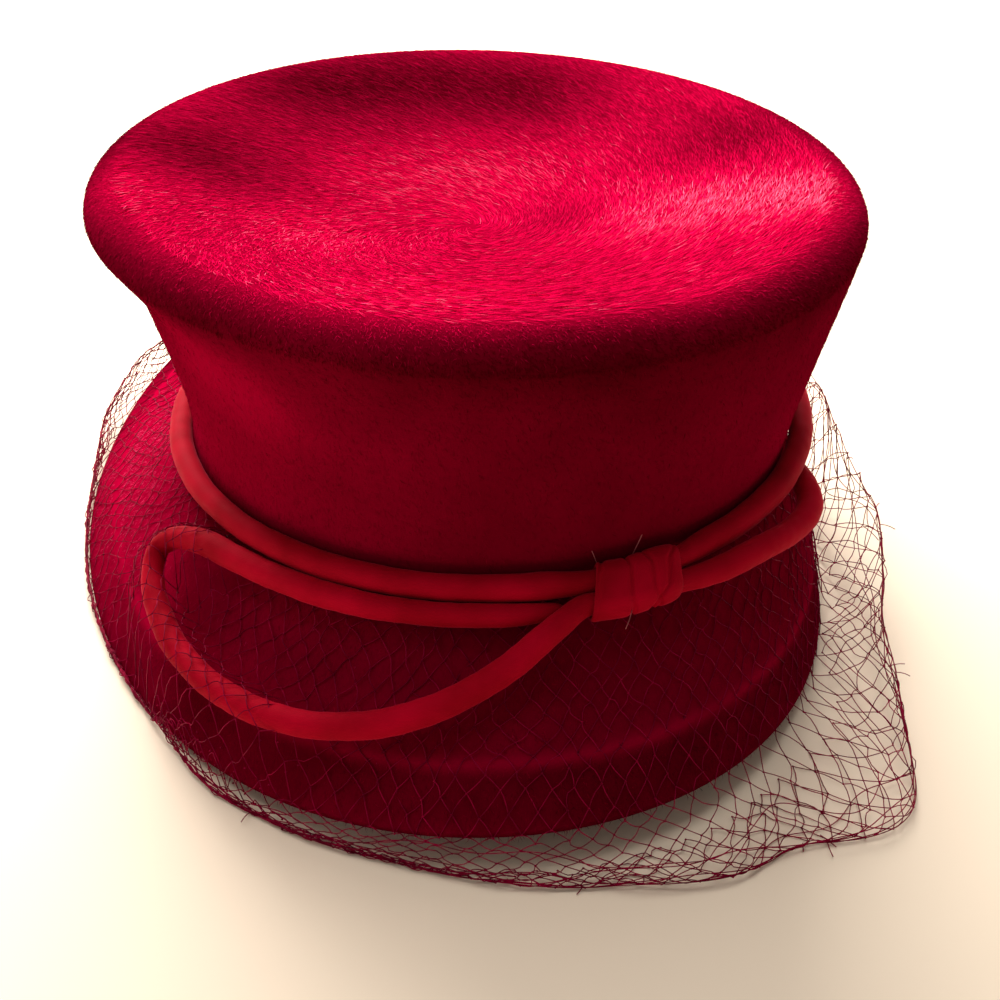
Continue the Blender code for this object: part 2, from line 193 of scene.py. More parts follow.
def crown_wall(angle, share):
    """Foot oval (share 0) to lip oval (share 1): straight in height, flared by the table."""
    foot = oval(FOOT_WIDTH, FOOT_LENGTH, FOOT_RIGHT, FOOT_FRONT, angle)
    lip = oval(LIP_WIDTH, LIP_LENGTH, LIP_RIGHT, LIP_FRONT, angle)
    to_right = (1 + np.cos(angle)) / 2
    flare = column(FLARE, 1, share) * to_right + column(FLARE, 2, share) * (1 - to_right)
    low, high = foot_height(foot), lip_height(lip)
    return with_height(foot + (lip - foot) * flare[..., None], low + (high - low) * share)


def crown_lip(angle, turn):
    """The rounded lip: a quarter of an oval from the crest (turn 1) to the widest ring (turn 0)."""
    inset = 2 * LIP_INSET * (1 - np.cos(turn * np.pi / 2))
    middle = np.array([LIP_RIGHT, -LIP_FRONT])
    shrink = np.stack([1 - inset / LIP_WIDTH, 1 - inset / LIP_LENGTH], -1)
    plan = middle + (oval(LIP_WIDTH, LIP_LENGTH, LIP_RIGHT, LIP_FRONT, angle) - middle) * shrink
    return with_height(plan, lip_height(plan) + LIP_CREST * np.sin(turn * np.pi / 2))


def crown_dish(angle, share):
    """The dished tip: the crest's oval shrunk to its middle, and sunk by its depth times
    (1 - share squared) to the power 1.5."""
    crest = oval(LIP_WIDTH - 2 * LIP_INSET, LIP_LENGTH - 2 * LIP_INSET, LIP_RIGHT, LIP_FRONT, angle)
    middle = np.array([LIP_RIGHT, -LIP_FRONT])
    plan = middle + (crest - middle) * share[..., None]
    return with_height(plan, lip_height(plan) + LIP_CREST - DISH_DEPTH * (1 - share ** 2) ** 1.5)


SMALL_STEP = 1e-4                 # in radians and in shares


def slopes(surface, angle, share):
    """The surface's points, its steps along the angle and the share, and its unit normal, which
    points away from the middle of the space for the head."""
    share = np.clip(share, SMALL_STEP, 1 - SMALL_STEP)
    along = surface(angle + SMALL_STEP, share) - surface(angle - SMALL_STEP, share)
    down = surface(angle, share + SMALL_STEP) - surface(angle, share - SMALL_STEP)
    normal = np.cross(down, along)
    normal /= np.linalg.norm(normal, axis=-1, keepdims=True)
    here = surface(angle, share)
    head = np.array([FOOT_RIGHT, -FOOT_FRONT, FOOT_HEIGHT / 2])
    normal *= np.sign((normal * (here - head)).sum(-1, keepdims=True))
    return here, along / (2 * SMALL_STEP), down / (2 * SMALL_STEP), normal


def off(surface, angle, share, distance):
    """Points a distance off a surface, along its normal."""
    here, _, _, normal = slopes(surface, angle, share)
    return here + normal * np.asarray(distance)[..., None]


def rows_off(surface, shares, distance):
    """The surface's rings at these shares, moved off it, as rows of a grid of points."""
    angle = np.linspace(0, 2 * np.pi, ROUND, endpoint=False)
    share, angle = np.meshgrid(np.asarray(shares, float), angle, indexing="ij")
    return off(surface, angle, share, np.broadcast_to(np.reshape(distance, (-1, 1)), share.shape))


def rings_to_faces(rows, count, closed):
    """Four-sided faces between each ring and the next, and from the last to the first if closed."""
    first = np.arange(rows if closed else rows - 1)[:, None] * count
    second = (first + count) % (rows * count)
    here = np.arange(count)[None]
    following = (here + 1) % count
    return np.stack([first + here, second + here, second + following, first + following],
                    -1).reshape(-1, 4)


def outward(thing):
    """Turns a closed mesh's faces outwards: they are all flipped when its volume is negative."""
    mesh = thing.data
    mesh.calc_loop_triangles()
    corners = np.empty(len(mesh.loop_triangles) * 3, int)
    mesh.loop_triangles.foreach_get("vertices", corners)
    places = np.empty(len(mesh.vertices) * 3)
    mesh.vertices.foreach_get("co", places)
    a, b, c = places.reshape(-1, 3)[corners.reshape(-1, 3)].transpose(1, 0, 2)
    if np.einsum("ij,ij->", a, np.cross(b, c)) < 0:
        mesh.flip_normals()
    return thing


def add_tone(thing, values):
    """Keeps one number for each of the mesh's points, which its material reads as its tone, painted
    light and shade included.
    """
    tone = thing.data.attributes.new("tone", "FLOAT", "POINT")
    tone.data.foreach_set("value", np.asarray(values, float).ravel())


MIDDLE_TONE = 0.45                # tones go from 0, darkest, to 1, lightest


def painted_nap_tone(points, painted_patches):
    """How light the nap is painted: a middle tone, plus a bell of painted light round the middle of
    each patch, which is painted shade where it is negative.
    """
    tone = np.full(points.shape[:-1], MIDDLE_TONE)
    for right, back, up, reach, lighter in painted_patches:
        far = np.linalg.norm(points - np.array([right, back, up]), axis=-1)
        tone = tone + lighter * np.exp(-(far / reach) ** 2)
    return tone


def two_tones(nodes, low, shade, high, glow):
    """A ramp from the shade at the low value to the glow at the high one."""
    ramp = nodes.new("ShaderNodeValToRGB")
    dark, light = ramp.color_ramp.elements
    dark.position, dark.color = low, (*shade, 1)
    light.position, light.color = high, (*glow, 1)
    return ramp


MOTTLE = 0.34                     # the most that the mottle adds to the tone
FELT_SHEEN, FELT_SHEEN_TINT = 0.03, (1.0, 0.04, 0.20, 1)
FELT_GRAIN = (  # size, depth
    (0.0045, 0.00022),
    (0.0016, 0.00015),
    (0.0006, 0.00007),
)


def felt_material(name, shade, glow, mottle_size, roughness):
    """Felt: from shade to glow by the mesh's tone, which holds painted light and shade, plus a
    noise of the mottle's size, over a fine grain of matted hairs, which is three finer noises as
    bump."""
    material, nodes, links, felt = surfaced(
        name, Roughness=roughness, Specular_IOR_Level=0.0, Sheen_Weight=FELT_SHEEN,
        Sheen_Roughness=0.5, Sheen_Tint=FELT_SHEEN_TINT)
    place = nodes.new("ShaderNodeTexCoord")
    mottle = nodes.new("ShaderNodeTexNoise")
    mottle.inputs["Scale"].default_value = 1 / mottle_size
    mottle.inputs["Detail"].default_value = 5
    mottle.inputs["Roughness"].default_value = 0.6
    links.new(place.outputs["Object"], mottle.inputs["Vector"])
    tone = nodes.new("ShaderNodeAttribute")
    tone.attribute_name = "tone"
    mixed = nodes.new("ShaderNodeMath")
    mixed.operation = "MULTIPLY_ADD"
    mixed.inputs[1].default_value = MOTTLE
    links.new(mottle.outputs["Fac"], mixed.inputs[0])
    links.new(tone.outputs["Fac"], mixed.inputs[2])
    ramp = two_tones(nodes, MOTTLE / 2, shade, 1.0, glow)
    links.new(mixed.outputs["Value"], ramp.inputs["Fac"])
    links.new(ramp.outputs["Color"], felt.inputs["Base Color"])
    height = None
    for grain, depth in FELT_GRAIN:
        noise = nodes.new("ShaderNodeTexNoise")
        noise.inputs["Scale"].default_value = 1 / grain
        noise.inputs["Detail"].default_value = 3
        links.new(place.outputs["Object"], noise.inputs["Vector"])
        bump = nodes.new("ShaderNodeBump")
        bump.inputs["Distance"].default_value = depth
        bump.inputs["Strength"].default_value = 0.8
        links.new(noise.outputs["Fac"], bump.inputs["Height"])
        if height:
            links.new(height.outputs["Normal"], bump.inputs["Normal"])
        height = bump
    links.new(height.outputs["Normal"], felt.inputs["Normal"])
    return material


DISH_ROWS, LIP_ROWS, WALL_ROWS = 40, 16, 48
INSIDE_ROWS = (16, 10, 16)        # the same three parts, seen from inside
DISH_FROM, DISH_TO, WALL_FROM = 0.02, 0.995, 0.985   # shares next to the middle and the lip
CROWN_SHADE, CROWN_GLOW = (0.050, 0.0, 0.002), (0.360, 0.0, 0.022)
CROWN_MOTTLE, CROWN_ROUGHNESS = 0.026, 0.85
# Painted light and shade on the crown's felt and nap: painted sheen on the tip's middle and front,
# painted shade at its back and far sides, and on the wall painted light to the left and painted
# shade at the front.
CROWN_PAINTED_LIGHT = (  # right, back, up, reach, how much painted light, which is painted shade where negative
    (-0.022, 0.078, 0.105, 0.023, -0.32),
    (0.013, 0.080, 0.105, 0.023, -0.32),
    (0.045, 0.062, 0.102, 0.023, -0.34),
    (-0.058, 0.030, 0.105, 0.026, -0.32),
    (0.080, -0.002, 0.110, 0.020, -0.30),
    (0.031, -0.007, 0.094, 0.011, -0.16),
    (0.032, 0.030, 0.096, 0.026, 0.15),
    (-0.005, 0.028, 0.094, 0.028, 0.13),
    (0.058, -0.030, 0.103, 0.026, 0.30),
    (0.080, -0.052, 0.113, 0.018, 0.25),
    (-0.036, -0.014, 0.099, 0.022, 0.16),
    (-0.030, -0.078, 0.113, 0.030, 0.16),
    (0.030, -0.088, 0.113, 0.030, 0.12),
    (-0.086, 0.000, 0.108, 0.020, 0.22),
    (-0.066, -0.050, 0.092, 0.014, 0.34),
    (-0.058, -0.068, 0.089, 0.012, 0.30),
    (-0.066, -0.030, 0.060, 0.040, 0.12),
    (0.010, -0.100, 0.085, 0.050, -0.16),
)
LIP_SHADE = 0.30                  # how much painted shade darkens the felt right under the lip
CREST_FADE, WALL_FADE = 0.7, 3    # powers by which that painted shade grows over the lip, and up the wall


def felt_rings(rows):
    """The crown's rings from the tip's middle to its foot, at a count of rows for each part."""
    dish, lip, wall = rows
    return ((crown_dish, np.linspace(DISH_FROM, DISH_TO, dish)),
            (crown_lip, np.linspace(1, 0, lip)), (crown_wall, np.linspace(WALL_FROM, 0, wall)))


outside = np.concatenate([rows_off(surface, shares, 0.0)
                          for surface, shares in felt_rings((DISH_ROWS, LIP_ROWS, WALL_ROWS))])
inside = np.concatenate([rows_off(surface, shares, -FELT)
                         for surface, shares in felt_rings(INSIDE_ROWS)])
inside[-1, :, 2] = outside[-1, :, 2]
rings = np.concatenate([outside, inside[::-1]])
tip = crown_dish(np.zeros(1), np.zeros(1))[0]
points = np.vstack([rings.reshape(-1, 3), tip, tip - [0, 0, FELT]])
last, here = len(rings) * ROUND - ROUND, np.arange(ROUND)
following = (here + 1) % ROUND
above, below = np.full(ROUND, len(points) - 2), np.full(ROUND, len(points) - 1)
caps = np.concatenate([np.stack([above, here, following], -1),
                       np.stack([below, last + following, last + here], -1)])
crown = outward(solid_mesh("crown_felt", points + STAND,
                           rings_to_faces(len(rings), ROUND, False).tolist() + caps.tolist()))
# Painted shade under the lip: the felt darkens over the lip's underside and is darkest at the top
# of the wall, fading towards the foot.
wall_top = DISH_ROWS + LIP_ROWS
ring_shade = np.zeros(len(rings))
ring_shade[DISH_ROWS:wall_top] = LIP_SHADE * np.linspace(0, 1, LIP_ROWS) ** CREST_FADE
ring_shade[wall_top:len(outside)] = LIP_SHADE * np.linspace(WALL_FROM, 0, WALL_ROWS) ** WALL_FADE
add_tone(crown, painted_nap_tone(points, CROWN_PAINTED_LIGHT) - np.append(np.repeat(ring_shade, ROUND), [0, 0]))
crown.data.materials.append(felt_material("crown_felt", CROWN_SHADE, CROWN_GLOW, CROWN_MOTTLE,
                                          CROWN_ROUGHNESS))
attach(crown, "root")
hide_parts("crown")


# The crown's nap: hairs that lie on the felt, long on the tip, short on the lip and wall.
HIGHLIGHT_FROM = 0.66                 # the tone above which a hair turns to the painted highlight
HAIR_SHEEN, HAIR_SHEEN_TINT = 0.01, (1.0, 0.10, 0.32, 1)


def nap_material(name, colours, roughness):
    """Hairs: each has its own tone, painted light and shade included, kept in the mesh, from the
    shade through the glow to the few palest, which are painted highlights."""
    shade, glow, painted_highlight = colours
    material, nodes, links, hair = surfaced(
        name, Roughness=roughness, Specular_IOR_Level=0.0, Sheen_Weight=HAIR_SHEEN,
        Sheen_Roughness=0.4, Sheen_Tint=HAIR_SHEEN_TINT)
    tone = nodes.new("ShaderNodeAttribute")
    tone.attribute_name = "tone"
    ramp = nodes.new("ShaderNodeValToRGB")
    ramp.color_ramp.elements[0].color = (*shade, 1)
    ramp.color_ramp.elements[1].color = (*painted_highlight, 1)
    ramp.color_ramp.elements.new(HIGHLIGHT_FROM).color = (*glow, 1)
    links.new(tone.outputs["Fac"], ramp.inputs["Fac"])
    links.new(ramp.outputs["Color"], hair.inputs["Base Color"])
    return material


THROWN = 4                        # throws for each hair that is kept


def scatter(surface, low, high, count, dice):
    """Angles and shares of points spread evenly over a surface between two shares: many are
    thrown, and each is kept with a chance that grows with the area round it."""
    angle = dice.uniform(-np.pi, np.pi, count * THROWN)
    share = dice.uniform(low, high, count * THROWN)
    _, along, down, _ = slopes(surface, angle, share)
    area = np.linalg.norm(np.cross(along, down), axis=-1)
    kept = dice.choice(len(angle), count, replace=False, p=area / area.sum())
    return angle[kept], share[kept]


def combed(surface, angle, share, outward_share, comb):
    """Root, hair direction and normal: the direction is the way outwards (or down) along the
    surface, turned towards the ring's own direction by the comb's angle."""
    root, along, down, normal = slopes(surface, angle, share)
    down = down * outward_share
    down /= np.linalg.norm(down, axis=-1, keepdims=True)
    across = np.cross(normal, down)
    across *= np.sign((across * along).sum(-1, keepdims=True))
    return root, np.cos(comb)[:, None] * down + np.sin(comb)[:, None] * across, normal


HAIR_ROLL, HAIR_BEND = 0.35, 0.12   # spreads of its roll in radians, and of its bend in lengths
HAIR_ROOT = 0.0001                # how deep it starts in the felt
NAP_SPREAD = 0.11                 # spread of its tone round the felt's


def hairs(name, root, way, normal, size, tone, dice, material):
    """A nap: each hair is a ribbon of five points, from its root along its way, rising off the felt
    by its lift and bending a little aside, and narrowing to its tip. Its tone is the one given,
    with its painted light and shade, a little lighter or darker at random."""
    count = len(root)
    side = np.cross(way, normal)
    side /= np.linalg.norm(side, axis=-1, keepdims=True)
    length, width, lift = size
    roll = dice.normal(0, HAIR_ROLL, count)[:, None]
    flat = side * np.cos(roll) + normal * np.sin(roll)
    long = (length * dice.uniform(0.5, 1.3, count))[:, None]
    rise = (lift * dice.uniform(0.2, 1.2, count))[:, None]
    bend = dice.normal(0, HAIR_BEND, count)[:, None]
    thick = (width * dice.uniform(0.6, 1.2, count))[:, None] / 2
    foot = root - normal * HAIR_ROOT
    middle = root + way * long * 0.5 + normal * rise * 0.6 + side * bend * long * 0.25
    end = root + way * long + normal * rise + side * bend * long
    points = np.stack([foot - flat * thick, foot + flat * thick, middle + flat * thick,
                       middle - flat * thick, end], 1).reshape(-1, 3) + STAND
    points[:, 2] = np.maximum(points[:, 2], STAND[2])
    first = np.arange(count)[:, None] * 5
    thing = solid_mesh(name, points, (first + [0, 1, 2, 3]).tolist() + (first + [3, 2, 4]).tolist())
    add_tone(thing, np.repeat(np.clip(tone + dice.normal(0, NAP_SPREAD, count), 0, 1), 5))
    thing.data.materials.append(material)
    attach(thing, "root")
    return thing


def brushed(comb, count, dice):
    """Combing angles for a count of hairs: the comb's middle, give or take its spread."""
    middle, spread = comb
    return middle + dice.normal(0, spread, count)


UNDER_LIP_SHADE = 0.62                  # how much painted shade darkens the nap where the lip turns under
TIP_HAIRS, WALL_HAIRS, LIP_HAIRS = 62000, 42000, 30000
TIP_HAIR_SIZE = (0.0042, 0.00012, 0.00040)           # length, width, lift
WALL_HAIR_SIZE = (0.0018, 0.00010, 0.00025)
LIP_HAIR_SIZE = (0.0013, 0.00010, 0.00030)
# The tip's nap, also used on the lip, is a lit copy of the felt's nap with a painted-light glow;
# the wall's and the brim's naps are shaded copies of it.
LIT_TIP_NAP = ((0.070, 0.0, 0.002), (0.96, 0.002, 0.075), (1.0, 0.26, 0.42))   # shade, glow, painted highlight
SHADED_WALL_NAP = ((0.045, 0.0, 0.002), (0.300, 0.0, 0.016), (0.45, 0.01, 0.06))
WHIRL, WHIRL_SWING, WHIRL_SPREAD = 60, 22, 0.16      # degrees, degrees, radians
WALL_COMB, LIP_COMB = (0.35, 0.35), (0.5, 0.5)       # radians off straight down, and their spread

dice = np.random.default_rng(7)
lit_tip_hair = nap_material("tip_nap", LIT_TIP_NAP, 0.5)
angle, share = scatter(crown_dish, 0.004, 0.995, TIP_HAIRS, dice)
whirl = brushed((np.radians(WHIRL + WHIRL_SWING * np.cos(angle + 0.5)), WHIRL_SPREAD),
                TIP_HAIRS, dice)
root, way, normal = combed(crown_dish, angle, share, 1, whirl)
tone = painted_nap_tone(root, CROWN_PAINTED_LIGHT)
tip_nap = hairs("tip_nap", root, way, normal, TIP_HAIR_SIZE, tone, dice, lit_tip_hair)

shaded_wall_hair = nap_material("wall_nap", SHADED_WALL_NAP, 0.6)
angle, share = scatter(crown_wall, 0.0, 1.0, WALL_HAIRS, dice)
root, way, normal = combed(crown_wall, angle, share, -1, brushed(WALL_COMB, WALL_HAIRS, dice))
# Painted shade: the wall's nap darkens towards the top, under the lip.
tone = painted_nap_tone(root, CROWN_PAINTED_LIGHT) - LIP_SHADE * share ** WALL_FADE
wall_nap = hairs("wall_nap", root, way, normal, WALL_HAIR_SIZE, tone, dice, shaded_wall_hair)

angle, share = scatter(crown_lip, 0.0, 1.0, LIP_HAIRS, dice)
root, way, normal = combed(crown_lip, angle, share, -1, brushed(LIP_COMB, LIP_HAIRS, dice))
# Painted shade: the lip's nap darkens where the lip turns under.
tone = painted_nap_tone(root, CROWN_PAINTED_LIGHT) - UNDER_LIP_SHADE * (1 - share) ** CREST_FADE
lip_nap = hairs("lip_nap", root, way, normal, LIP_HAIR_SIZE, tone, dice, lit_tip_hair)


# Brim. A second piece of the same felt: a collar turned up inside the crown's foot, an upper slope,
# a soft shoulder and a steeper flange down to a cut edge. It stands on the two sides of that edge.
COLLAR = 0.0090
BRIM_WIDTH, BRIM_LENGTH = 0.2120, 0.2734
BRIM_BACK = 0.0100
BRIM_LIFT = 0.0108
STANDING_SHARE = 0.30
FALL = (  # share of the run outwards, share of the drop
    (0.00, 0.00),
    (0.12, 0.07),
    (0.38, 0.32),
    (0.74, 0.66),
    (0.88, 0.82),
    (1.00, 1.00),
)
SHOULDER = FALL[3][0]


def brim_edge(angle):
    """The oval of the brim's edge, whose back half is longer than its front half."""
    length = BRIM_LENGTH + 2 * BRIM_BACK * (np.sin(angle) > 0)
    return oval(BRIM_WIDTH, length, 0.0, 0.0, angle)


def brim_top(angle, share):
    """Foot oval (share 0) to the edge's oval (share 1), falling by the table."""
    foot = oval(FOOT_WIDTH, FOOT_LENGTH, FOOT_RIGHT, FOOT_FRONT, angle)
    edge = brim_edge(angle)
    off_flat = np.clip((abs(np.sin(angle)) - STANDING_SHARE) / (1 - STANDING_SHARE), 0, 1)
    high, low = foot_height(foot) - GAP, BRIM_LIFT * off_flat ** 2
    drop = column(FALL, 1, np.clip(share, 0, 1))
    return with_height(foot + (edge - foot) * share[..., None], high + (low - high) * drop)


BRIM_ROWS, UNDERSIDE_ROWS = 64, 24
SHOULDER_RIDGE, RIDGE_REACH = 0.0004, 0.03
# Painted light on the brim's felt and nap: a painted highlight along the shoulder's crease, and
# painted shade on the steeper flange below it.
SHOULDER_HIGHLIGHT, FLANGE_SHADE = 0.22, 0.20
FLANGE_IN, FLANGE_END, FLANGE_OUT = 0.06, 1.05, 0.12   # shares where that painted shade comes and goes
# The brim's felt is a shaded copy of the crown's felt, a little darker.
BRIM_SHADE, BRIM_GLOW = (0.045, 0.0, 0.002), (0.320, 0.0, 0.020)
BRIM_MOTTLE, BRIM_ROUGHNESS = 0.022, 0.88
BRIM_HAIRS, BRIM_HAIR_SIZE, BRIM_COMB = 48000, (0.0015, 0.00009, 0.00022), (0.3, 0.5)
SHADED_BRIM_NAP = ((0.045, 0.0, 0.002), (0.330, 0.0, 0.018), (0.80, 0.06, 0.18))
# Painted light and shade on the brim: lighter to the left, darker at the front.
BRIM_PAINTED_LIGHT = (  # right, back, up, reach, how much painted light, which is painted shade where negative
    (-0.098, 0.045, 0.010, 0.050, 0.45),
    (-0.100, -0.010, 0.008, 0.040, 0.22),
    (0.020, -0.125, 0.025, 0.060, -0.12),
)


def shoulder(share):
    """1 on the shoulder's crease, falling away on both sides as a bell."""
    return np.exp(-((share - SHOULDER) / RIDGE_REACH) ** 2)


def brim_painted_tone(points, share):
    """The nap's tone on the brim, with painted light and shade: a painted highlight on the
    shoulder's crease, painted shade on the flange below.
    """
    flange = (np.clip((share - SHOULDER) / FLANGE_IN, 0, 1)
              * np.clip((FLANGE_END - share) / FLANGE_OUT, 0, 1))
    return (painted_nap_tone(points, BRIM_PAINTED_LIGHT) + SHOULDER_HIGHLIGHT * shoulder(share)
            - FLANGE_SHADE * flange)


collar_share = COLLAR / (LIP_HEIGHT - FOOT_HEIGHT)
fall = np.linspace(0, 1, BRIM_ROWS)
under = np.linspace(1, 0, UNDERSIDE_ROWS)
collar = rows_off(crown_wall, (collar_share, 0.0), -FELT - GAP)
lining = rows_off(crown_wall, (0.0, collar_share), -2 * FELT - GAP)
above = rows_off(brim_top, fall, SHOULDER_RIDGE * shoulder(fall))
collar[1, :, 2] = above[0, :, 2]
lining[0, :, 2] = above[0, :, 2] - FELT
below = rows_off(brim_top, under, -FELT)
below[0, :, 2] = above[-1, :, 2]
rings = np.concatenate([collar, above, below, lining])
brim = outward(solid_mesh("brim_felt", rings.reshape(-1, 3) + STAND,
                          rings_to_faces(len(rings), ROUND, True).tolist()))
share = np.concatenate([[0, 0], fall, under, [0, 0]])[:, None]
add_tone(brim, brim_painted_tone(rings, share))
brim.data.materials.append(felt_material("brim_felt", BRIM_SHADE, BRIM_GLOW, BRIM_MOTTLE,
                                         BRIM_ROUGHNESS))
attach(brim, "root")
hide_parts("brim")

shaded_brim_hair = nap_material("brim_nap", SHADED_BRIM_NAP, 0.6)
angle, share = scatter(brim_top, 0.02, 1.0, BRIM_HAIRS, dice)
root, way, normal = combed(brim_top, angle, share, 1, brushed(BRIM_COMB, BRIM_HAIRS, dice))
brim_nap = hairs("brim_nap", root, way, normal, BRIM_HAIR_SIZE, brim_painted_tone(root, share), dice,
                 shaded_brim_hair)


# Rolled cords. A rouleau: a bias strip of red cloth sewn into a tube round a soft core, about 6 mm
# thick. One run lies round the crown's foot, and the other makes the loop and the tail, held by the
# knot. The loop's cord lies on the net, so it keeps clear of the net's thickness and sag.
NET, NET_COLUMNS = 0.0012, 24
NET_SAG = (BRIM_LENGTH / 2 + BRIM_BACK) * (1 - np.cos(np.pi / NET_COLUMNS))
CORD = 0.0064
BAND_RISE = 0.0058
SQUEEZE = 0.80                    # the cords' thickness inside the wrap, as a share
WRAP = 0.0010
KNOT_FROM, KNOT_TO = -92.0, -79.0   # degrees round the hat
KNOT_MOUTH, KNOT_EASE = 1.0, 8.0
KNOT_SHARE = 0.13                 # share of the brim's run
LOOP_ROUTE = (  # angle, share of the brim's run, lift in cord thicknesses, share of the thickness
    (-95.5, 0.12, -0.20, 0.50),
    (-101, 0.13, -0.05, 0.75),
    (-112, 0.13, 0.00, 0.80),
    (-124, 0.13, 0.00, 0.85),
    (-136, 0.13, 0.00, 0.90),
    (-146.5, 0.14, 0.00, 0.95),
    (-154, 0.165, 0.05, 1.00),
    (-159.5, 0.235, 0.15, 0.95),
    (-162, 0.335, 0.25, 0.90),
    (-160.5, 0.455, 0.25, 0.90),
    (-155.5, 0.565, 0.20, 0.95),
    (-147.5, 0.655, 0.15, 1.00),
    (-137, 0.695, 0.15, 1.00),
    (-126, 0.675, 0.20, 1.00),
    (-116, 0.595, 0.25, 1.00),
    (-108, 0.465, 0.30, 1.00),
    (-102, 0.32, 0.25, 1.00),
    (-97, 0.195, 0.20, 0.90),
)
TAIL_ROUTE = (  # the same columns
    (-73, 0.145, 0.18, 0.92),
    (-67, 0.147, 0.30, 1.00),
    (-60, 0.162, 0.40, 1.00),
    (-54, 0.183, 0.42, 1.00),
    (-48, 0.175, 0.40, 1.00),
    (-44.5, 0.13, 0.10, 0.95),
    (-41.5, 0.11, -0.08, 0.75),
    (-38.5, 0.10, -0.22, 0.50),
)


def in_knot(angle):
    """1 between the wrap's two mouths, falling smoothly to 0 a few degrees past each."""
    share = np.clip(np.maximum(KNOT_FROM - angle, angle - KNOT_TO) / KNOT_EASE, 0, 1)
    return 1 - share ** 2 * (3 - 2 * share)


def band_point(angle):
    """The band's middle: off the crown's wall by half its thickness, and by the wrap's wall."""
    share = np.full_like(angle, BAND_RISE / (LIP_HEIGHT - FOOT_HEIGHT))
    inside = in_knot(angle)
    away = (CORD / 2) * (1 - (1 - SQUEEZE) * inside) + GAP + (WRAP + 2 * GAP) * inside
    return off(crown_wall, np.radians(angle), share, away)


def loop_point(angle, share, lift, thickness):
    """The loop's middle: off the brim by half its thickness, the net's and its lift."""
    rest = CORD * thickness / 2 + NET + NET_SAG + 2 * GAP
    return off(brim_top, np.radians(angle), share, rest + lift * CORD)


def cloth_material(name, shade, glow):
    """Matt cloth on the bias: a slow mottle of two reds, with a fine diagonal weave as bump."""
    material, nodes, links, cloth = surfaced(
        name, Roughness=0.72, Specular_IOR_Level=0.03, Sheen_Weight=0.16,
        Sheen_Roughness=0.35, Sheen_Tint=(1.0, 0.14, 0.22, 1))
    place = nodes.new("ShaderNodeTexCoord")
    mottle = nodes.new("ShaderNodeTexNoise")
    mottle.inputs["Scale"].default_value = 60
    mottle.inputs["Detail"].default_value = 3
    links.new(place.outputs["Object"], mottle.inputs["Vector"])
    ramp = two_tones(nodes, 0.30, shade, 0.72, glow)
    links.new(mottle.outputs["Fac"], ramp.inputs["Fac"])
    links.new(ramp.outputs["Color"], cloth.inputs["Base Color"])
    weave = nodes.new("ShaderNodeTexWave")
    weave.bands_direction = "DIAGONAL"
    weave.inputs["Scale"].default_value = 900
    weave.inputs["Distortion"].default_value = 2.0
    links.new(place.outputs["Object"], weave.inputs["Vector"])
    bump = nodes.new("ShaderNodeBump")
    bump.inputs["Distance"].default_value = 0.00004
    bump.inputs["Strength"].default_value = 0.5
    links.new(weave.outputs["Fac"], bump.inputs["Height"])
    links.new(bump.outputs["Normal"], cloth.inputs["Normal"])
    return material


def tube(path, radius, around, closed):
    """Rings round a path, as rows of points: each ring lies square to it, and its first point
    lies level beside it."""
    ahead = np.roll(path, -1, 0) - np.roll(path, 1, 0)
    if not closed:
        ahead[0], ahead[-1] = path[1] - path[0], path[-1] - path[-2]
    ahead /= np.linalg.norm(ahead, axis=-1, keepdims=True)
    side = np.cross(ahead, np.array([0.0, 0.0, 1.0]))
    side /= np.linalg.norm(side, axis=-1, keepdims=True)
    top = np.cross(side, ahead)
    turn = np.arange(around) * 2 * np.pi / around
    radius = np.broadcast_to(np.asarray(radius), (len(path), around))
    swing = (np.cos(turn)[None, :, None] * side[:, None]
             + np.sin(turn)[None, :, None] * top[:, None])
    return path[:, None] + radius[..., None] * swing


CORD_ROUND, CORD_FULL = 24, 0.985   # points round it, and its mean radius as a share
SWELLS = (  # share of the radius, waves along the cord, waves round it
    (0.020, 9, 0),
    (0.016, 23, 1),
    (0.010, 61, 2),
)
CREASE, CREASE_WAVES, CREASE_ROUND, CREASE_FADES = 0.008, 97, -3, 5
SEAM, SEAM_PLACE, SEAM_SWAY, SEAM_WIDTH = 0.05, 4.4, 0.4, 0.10   # depth as a share, then radians


def length_along(path):
    """How far along the path each of its points lies."""
    return np.concatenate([[0], np.cumsum(np.linalg.norm(np.diff(path, axis=0), axis=1))])


